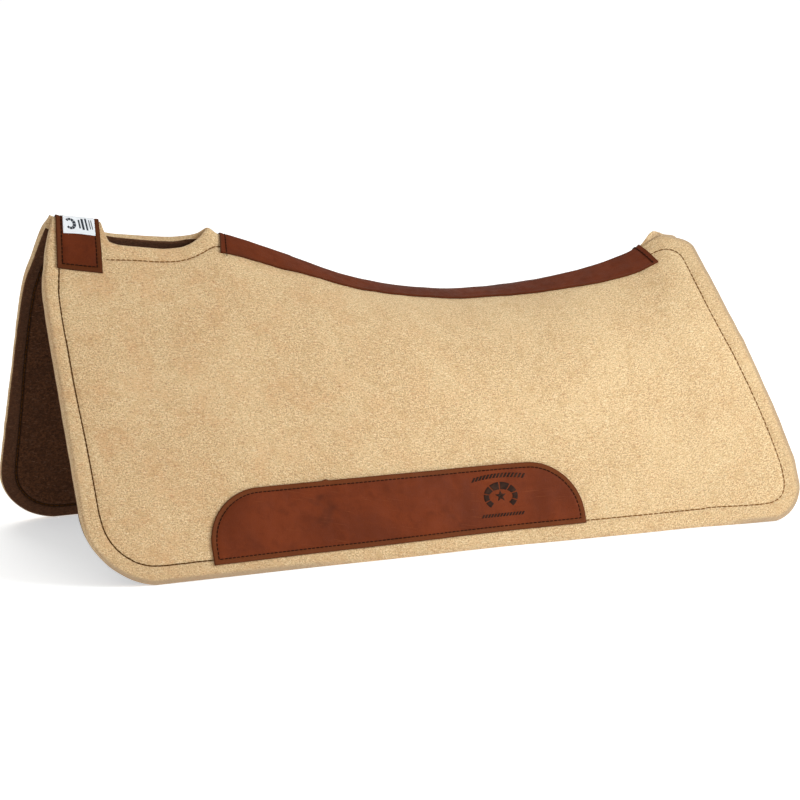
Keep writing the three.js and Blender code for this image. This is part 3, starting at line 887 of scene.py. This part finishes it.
def stamped_ink():
    """Where a hot stamp has burnt the leather: nearly black, with the leather showing through."""
    paint = Paint("stamped_leather", Specular_IOR_Level=0.05)
    cloth = paint.cloth()
    bare = paint.noise(cloth, 620, 4.0, 0.7)
    cloud = paint.noise(cloth, 90)
    paint.ground(paint.span(cloud, 0.35, 0.7), (0.020, 0.010, 0.007), (0.040, 0.017, 0.010))
    paint.lay(paint.span(bare, 0.60, 0.74, 0, 0.55), (0.12, 0.036, 0.015))
    return paint.done((bare, 0.0002), roughness=paint.span(bare, 0.3, 0.7, 0.5, 0.75))


SKINS = {
    "felt": tan_felt(),
    "liner": brown_felt(),
    "wear": saddle_leather("wear_leather"),
    "strip": saddle_leather("strip_leather", 0.84, band=False),
    "strap": saddle_leather("strap_leather", 0.74),
    # dark_thread is the liner's and the zigzags' thread, and also a darker copy of felt_thread for the front
    # seam, where its darkness is painted shade
    "dark_thread": waxed_thread("dark_thread", (0.042, 0.013, 0.001), (0.105, 0.038, 0.005)),
    "felt_thread": waxed_thread("felt_thread", (0.12, 0.050, 0.012), (0.27, 0.125, 0.038)),
    "leather_thread": waxed_thread("leather_thread", (0.010, 0.004, 0.002), (0.032, 0.011, 0.006)),
    "label": woven_cloth("white_ribbon", (0.66, 0.68, 0.72), (0.93, 0.94, 0.97), (0.70, 0.70, 0.72)),
    "marks": woven_cloth("dark_ribbon", (0.010, 0.014, 0.022), (0.045, 0.055, 0.075), (0.08, 0.09, 0.11)),
    "stamp": stamped_ink(),
}


# -------- pieces

def finish_piece(piece, replaced=(), body=None):
    """Fastens a piece to a body, or else bakes its transform into its mesh, and hides the parts it replaces.
    """
    if body:
        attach(piece, body)
    else:
        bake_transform(piece)
    if replaced:
        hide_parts(*replaced)


def sew_leather(name, line, position, seed, replaced, sunk=0.4, body=None):
    """The stitches on a leather piece."""
    row = make_stitches(name, line, position, -LEATHER, LEATHER_PITCH, LEATHER_THREAD,
                        SKINS["leather_thread"], sunk, seed, LEATHER_COVER)
    finish_piece(row, [replaced], body)


def seam_press(side, groove):
    """How far the seam pulls the cloth in, at places on it."""
    line = np.concatenate([LINES[side, name] for name in RUNS])
    return lambda places: groove * bell(distances(places, line) / GROOVE_WIDTH)


def mark_seam(piece, side):
    """Gives each point its distance from the seam, negative outside it, for the seam's dark line."""
    line = SEAMS[side]
    cloth = np.empty(len(piece.data.vertices) * 3)
    piece.data.attributes["cloth"].data.foreach_get("vector", cloth)
    places = cloth.reshape(-1, 3)[:, :2] * (1, side) / MM
    index, gap = nearest(places, line)
    within = ((places - line[index]) * inward(line)[index]).sum(1)
    piece.data.attributes.new("seam", "FLOAT", "POINT").data.foreach_set("value", gap * np.sign(within) * MM)


def make_layer(name, half, side, profile, slot, groove):
    """One half's outer felt or liner, with its seam pressed in."""
    loops = [(depth, cut_outline(side, depth, inset)) for depth, inset in profile]
    layer = make_body(name, loops, COLUMNS, ROWS, on_half(side), SKINS[slot], side,
                      seam_press(side, groove))
    mark_seam(layer, side)
    finish_piece(layer, [f"{half}_{slot}"])


def make_felts(half, side):
    outer = rounding(0, FELT_ROUND, True) + rounding(FELT, FELT_BACK_ROUND, False)[1:]
    inner = rounding(FELT + LINER_GAP, LINER_BACK_ROUND, True) + rounding(PAD, LINER_ROUND, False)
    set_back = [(depth, inset + LINER_SET_BACK) for depth, inset in inner]
    make_layer(f"{half}_outer_felt", half, side, outer, "felt", GROOVE)
    make_layer(f"{half}_inner_felt", half, side, set_back, "liner", LINER_GROOVE)


def make_edge_seams(half, side):
    position = on_half(side)
    for i, name in enumerate(RUNS):
        # The front run is the same thread as the others, drawn darker as painted shade of its deeper groove
        skin = SKINS["dark_thread" if name == "front" else "felt_thread"]
        row = make_stitches(f"{half}_{name}_stitches", LINES[side, name], position, 0, FELT_PITCH,
                            FELT_THREAD, skin, GROOVE, 10 + i)
        replaced = f"{half}_opening_thread" if name == "opening" else f"{half}_{name}_rim_thread"
        finish_piece(row, [replaced])
    clear = run_of(SEAMS[side], lambda x, s: section(x, s, PAD)[0] > 6)
    row = make_stitches(f"{half}_inner_stitches", clear, lambda x, s, depth: position(x, s, 2 * PAD - depth),
                        PAD, FELT_PITCH, FELT_THREAD, SKINS["dark_thread"], LINER_GROOVE, 20)
    finish_piece(row, [f"{half}_liner_thread"])


def from_hem(x, height):
    """A place on the cloth's outer face, given by its height above the hem."""
    return stacked(x, hem_at(x, 0) - height)


def patch_height(x, inset):
    """Height of the wear patch's outline above the hem."""
    radius = PATCH_CORNER - inset
    from_end = np.clip(np.minimum(x - PATCH_FRONT, PATCH_REAR - x) - inset, 0, radius)
    fall = PATCH_FALL * (x - PATCH_FRONT) / (PATCH_REAR - PATCH_FRONT)
    station, half_width, height = PATCH_NICK
    nick = height * bell((x - station) / half_width) * (inset == 0)
    return PATCH_HIGH - fall + nick - PATCH_CORNER + np.sqrt(radius ** 2 - (radius - from_end) ** 2)


def patch_low(x):
    return PATCH_LOW + PATCH_CLIMB * (x - PATCH_FRONT) / (PATCH_REAR - PATCH_FRONT)


PATCH_ROWS = graded(74, 8, 1.2, 3)
PATCH_TURN = np.linspace(0, np.pi / 2, 22)
PATCH_X = np.concatenate([PATCH_FRONT + PATCH_CORNER * (1 - np.cos(PATCH_TURN)),
                          np.linspace(PATCH_FRONT + PATCH_CORNER, PATCH_REAR - PATCH_CORNER, 180)[1:-1],
                          (PATCH_REAR - PATCH_CORNER * (1 - np.cos(PATCH_TURN)))[::-1]])
PATCH_COLUMNS = (PATCH_X - PATCH_FRONT) / (PATCH_REAR - PATCH_FRONT)


def patch_outline():
    high = stacked(PATCH_X, patch_height(PATCH_X, 0))
    even = np.linspace(PATCH_FRONT, PATCH_REAR, len(PATCH_X))
    low = stacked(even, patch_low(even))
    left, right = (along([high[i], low[i]], PATCH_ROWS) for i in (0, -1))
    return from_hem(*join_sides(high, right, low, left).T)


def patch_seam():
    inset = STITCH_INSET
    x = PATCH_X[(PATCH_X > PATCH_FRONT + inset) & (PATCH_X < PATCH_REAR - inset)]
    x = np.concatenate([[PATCH_FRONT + inset], x, [PATCH_REAR - inset]])
    over = stacked(x, patch_height(x, inset))
    bottom = stacked(x, patch_low(x) + inset)[::-1]
    return from_hem(*along(closed(np.concatenate([over, bottom])), np.linspace(0, 1, 700)).T)


def leather_loops(loop):
    """A leather piece's profile, with its edges rounded."""
    normal = inward(loop)
    profile = rounding(-LEATHER, LEATHER_ROUND, True)
    profile += rounding(-LEATHER_GAP, LEATHER_BACK_ROUND, False)
    return [(depth, loop + normal * inset) for depth, inset in profile]


def make_wear_patch(half, side):
    seam = patch_seam()
    close = along(seam, np.linspace(0, 1, 900))
    creases = waves(40 + side, 60)

    def press(places):
        return 0.5 * bell(distances(places, close) / CREASE_WIDTH) - 0.12 * creases(*places.T)
    patch = make_body(f"{half}_wear_patch", leather_loops(patch_outline()), PATCH_COLUMNS, PATCH_ROWS,
                      on_half(side), SKINS["wear"], side, press)
    finish_piece(patch, [f"{half}_wear_leather"], f"{half}_half")
    sew_leather(f"{half}_wear_stitches", seam, on_half(side), 30 + side, f"{half}_wear_thread",
                body=f"{half}_half")


def make_mark(name, shapes, low, high, position, skin):
    """A flat mark made of several thin plates, each given as rows by columns of places."""
    points, faces, flat = [], [], []
    for shape in shapes:
        rows, columns, _ = shape.shape
        places = shape.reshape(-1, 2)
        plate = np.concatenate([position(*places.T, -level) for level in (high, low)])
        edge = border(rows, columns)
        quads = np.concatenate([grid_faces(rows, columns, 0, False), ring_faces(edge, edge + len(places)),
                                grid_faces(rows, columns, len(places), True)])
        faces.append(facing_out(plate, quads) + sum(map(len, points)))
        points.append(plate)
        flat += [places, places]
    cloth = np.insert(np.concatenate(flat), 2, 0, axis=1) * MM
    return make_object(name, np.concatenate(points), np.concatenate(faces), skin, cloth)


def horseshoe(centre, width, height, web):
    """A horseshoe in pieces between its nail holes, open end down."""
    parts = []
    size = np.array([width / 2, height / 2])
    gap = math.radians(2.6)
    cuts = np.radians([-52, -22, 14, 50, 90, 130, 166, 202, 232])
    for a, b in zip(cuts, cuts[1:]):
        turn = np.linspace(a + gap, b - gap, 12)
        narrow = web * (0.72 + 0.28 * np.sin(np.clip(turn, 0, np.pi)))
        rim = stacked(np.cos(turn), np.sin(turn))
        parts.append(np.stack([rim * (size - t * narrow[:, None]) for t in np.linspace(0, 1, 4)]) + centre)
    return parts


def bar(length, width):
    """A short straight bar."""
    across = (width / 2, 0, -width / 2)
    return np.stack(np.meshgrid(np.linspace(-length / 2, length / 2, 24), across), -1)


def rope(centre, length, height, count, bow):
    """A row of slanted strands, as on a rope border."""
    strands = []
    width = 0.62 * length / count
    for t in (np.arange(count) + 0.5) / count * 2 - 1:
        x, y = centre[0] + t * length / 2, centre[1] - bow * t ** 2
        strands.append(np.array([[(x + width * across + 0.35 * height * up, y + height * up / 2)
                                  for across in (-0.5, 0, 0.5)] for up in (1, 0, -1)]))
    return strands


def star(centre, radius):
    """A five-pointed star in five kites."""
    kites = []
    for i in range(5):
        angles = np.pi / 2 + 2 * np.pi * (i + np.array([0, 0.5, -0.5])) / 5
        tip, left, right = (centre + size * radius * np.array([math.cos(a), math.sin(a)])
                            for a, size in zip(angles, (1, 0.42, 0.42)))
        kites.append(np.array([[left, tip], [centre, right]]))
    return kites


def make_stamp(half, side):
    """A plain horseshoe round a star between two rope borders, low on the rear of the wear patch."""
    x0, y0 = STAMP_CENTRE
    shapes = horseshoe(STAMP_CENTRE, *STAMP_SHOE) + star(STAMP_CENTRE, STAR_RADIUS)
    for height, *sizes in STAMP_ROPES:
        shapes += rope((x0, y0 + height), *sizes)
    position = on_half(side)

    def above_hem(x, height, depth):
        return position(*from_hem(x, height).T, depth)
    mark = make_mark(f"{half}_wear_stamp", shapes, LEATHER - STAMP_SUNK, LEATHER + STAMP_PROUD, above_hem,
                     SKINS["stamp"])
    finish_piece(mark, body=f"{half}_half")


CREST_STEPS = np.array([-2.4, -1.7, -1.1, -0.55, 0, 0.55, 1.1, 1.7, 2.4])
PAST_CREST, STEP = 3.4, 2.4


def steps_to(reach, fine, count):
    """Values of q from the crest to a piece's edge, this many of them in the last fine stretch."""
    coarse = np.arange(PAST_CREST, reach - fine, STEP)
    return np.concatenate([coarse, np.linspace(reach - fine, reach, count)])


def ridge_loop(place, columns, steps):
    """The loop of a piece over the ridge, and its rows. place(u, q) is a place on the piece, with u from
    0 at its front edge to 1 at its rear one."""
    q = np.concatenate([-steps[::-1], CREST_STEPS, steps])
    top, bottom = (place(columns, at) for at in (q[0], q[-1]))
    front, rear = (place(u, q) for u in (0, 1))
    return join_sides(top, rear, bottom, front), (q - q[0]) / (q[-1] - q[0])


def strip_front(q):
    return STRIP_FRONT + STRIP_SWEEP[0] * np.abs(q) / STRIP_HALF


def strip_rear(q):
    return STRIP_REAR + STRIP_SWEEP[1] * np.abs(q) / STRIP_HALF


def strip_place(u, q):
    x = strip_front(q) * (1 - u) + strip_rear(q) * u
    return stacked(x, q * strip_width(x) / STRIP_HALF)


def make_strip():
    """The leather over the spine seam, with its splice and the stitches across its ends."""
    columns = graded(STRIP_REAR - STRIP_FRONT, 9, 1.3, 4)
    loop, rows = ridge_loop(strip_place, columns, steps_to(STRIP_HALF, 4.5, 4))
    fine = waves(51, 26)
    ends = [("front", strip_front, STITCH_INSET, THREAD_TAIL), ("rear", strip_rear, -STITCH_INSET, -1.5)]

    def press(places):
        x, q = places.T
        pull = sum(0.5 * bell((x - end(q) - inset) / CREASE_WIDTH) for _, end, inset, _ in ends)
        lap = 0.55 * smooth((x - SPLICE - 0.12 * q) / 2.0)
        return pull + lap - 0.10 * fine(x, q)
    strip = make_body("spine_cover", leather_loops(loop), columns, rows, over_ridge, SKINS["strip"],
                      press=press)
    finish_piece(strip, ["spine_strip"])
    for name, end, inset, tail in ends:
        reach = strip_width(end(STRIP_HALF))
        q = np.linspace(1.5 - reach, reach + tail, 60)
        sew_leather(f"spine_cover_{name}_stitches", stacked(end(q) + inset, q), over_ridge, 60,
                    f"strip_{name}_thread")


def strap_middle(q):
    return STRAP_MIDDLE + STRAP_SWEEP * np.abs(q) / STRAP_REACH


def strap_place(t, q):
    """A place on the strap: t from -1 at its front edge to 1 at its rear one, q across the ridge."""
    return stacked(strap_middle(q) + STRAP_HALF * t, q + STRAP_SKEW * t * q / STRAP_REACH)


def strap_seam():
    """A line round the strap, inside its edges."""
    inner = 1 - STITCH_INSET / STRAP_HALF
    foot = STRAP_REACH - STITCH_INSET
    side = np.linspace(-foot, foot, 120)
    low = np.linspace(-inner, inner, 30)
    return np.concatenate([strap_place(-inner, side), strap_place(low, foot),
                           strap_place(inner, side[::-1]), strap_place(low[::-1], -foot)])


def make_strap():
    """The leather that bridges the halves over the withers, and the stitches round it."""
    columns = graded(2 * STRAP_HALF, 7, 1.1, 2.2)
    loop, rows = ridge_loop(lambda u, q: strap_place(2 * u - 1, q), columns, steps_to(STRAP_REACH, 6, 6))
    fine = waves(71, 24)
    seam = strap_seam()
    close = along(seam, np.linspace(0, 1, 700))

    def press(places):
        return 0.55 * bell(distances(places, close) / CREASE_WIDTH) - 0.12 * fine(*places.T)
    strap = make_body("bridge_cover", leather_loops(loop), columns, rows, over_ridge, SKINS["strap"],
                      press=press)
    finish_piece(strap, ["bridge_strap"])
    sew_leather("bridge_cover_stitches", seam, over_ridge, 72, "bridge_strap_thread", sunk=0.3)
    return strap


def label_place(u, q):
    place = strap_place((2 * u - 1) * LABEL_HALF / STRAP_HALF, q)
    return place + stacked(LABEL_SHIFT, -np.sign(q) * LABEL_BOW * 4 * u * (1 - u))


def make_label(strap):
    """The woven label laid over the strap, with plain woven marks on each side of the ridge."""
    columns = np.linspace(0, 1, 30)
    loop, rows = ridge_loop(label_place, columns, np.arange(3.2, LABEL_REACH + 0.1, 1.48))
    normal = inward(loop)
    top = LEATHER + LABEL_THICK
    profile = [(-top, 0.25), (-top + 0.15, 0.05), (-top + 0.3, 0.0), (-LEATHER - 0.05, 0.1)]
    loops = [(depth, loop + normal * inset) for depth, inset in profile]
    label = make_body("woven_tag", loops, columns, rows, over_ridge, SKINS["label"])
    finish_piece(label, ["woven_label"])
    middle = strap_middle(9)
    shapes = [(SHOE_OFFSET, part) for part in horseshoe((0, 0), *LABEL_SHOE)]
    shapes += [(offset, bar(length, width)) for offset, length, width in LABEL_BARS]
    placed = [stacked(middle + offset + shape[..., 1], way * (LABEL_MIDDLE + shape[..., 0]))
              for way in (1, -1) for offset, shape in shapes]
    marks = make_mark("woven_tag_marks", placed, top - 0.1, top + 0.12, over_ridge, SKINS["marks"])
    finish_piece(marks)


def make_butt_seams():
    """Zigzag stitches that hold the halves together, seen on the liner's side of the ridge."""
    def under(x, q, depth):
        away = np.hypot(q, ZIGZAG_ROUND)
        s = ridge_at(np.ravel(x), PAD).reshape(np.shape(x)) + away
        out, up = section(x, s, 2 * PAD - depth)
        return stacked(x, -out * q / away, up) * MM
    for name, (start, end) in ZIGZAGS.items():
        count = 2 * round((end - start) / ZIGZAG_PITCH)
        strokes = np.linspace(0, count, count * 24 + 1)
        swing = 1 - 2 * np.abs(strokes % 2 - 1)
        line = stacked(start + (end - start) * strokes / count, ZIGZAG_REACH * swing)
        row = make_stitches(f"{name}_zigzag", line, under, PAD - 0.3, None, 0.5, SKINS["dark_thread"],
                            seed=80, cover=0.9, count=count)
        finish_piece(row, [f"{name}_under_thread", f"{name}_seam_thread"])


make_camera()
make_studio()
for half_name, half_side in HALVES.items():
    make_felts(half_name, half_side)
    make_edge_seams(half_name, half_side)
    make_wear_patch(half_name, half_side)
    make_stamp(half_name, half_side)
make_strip()
make_label(make_strap())
make_butt_seams()
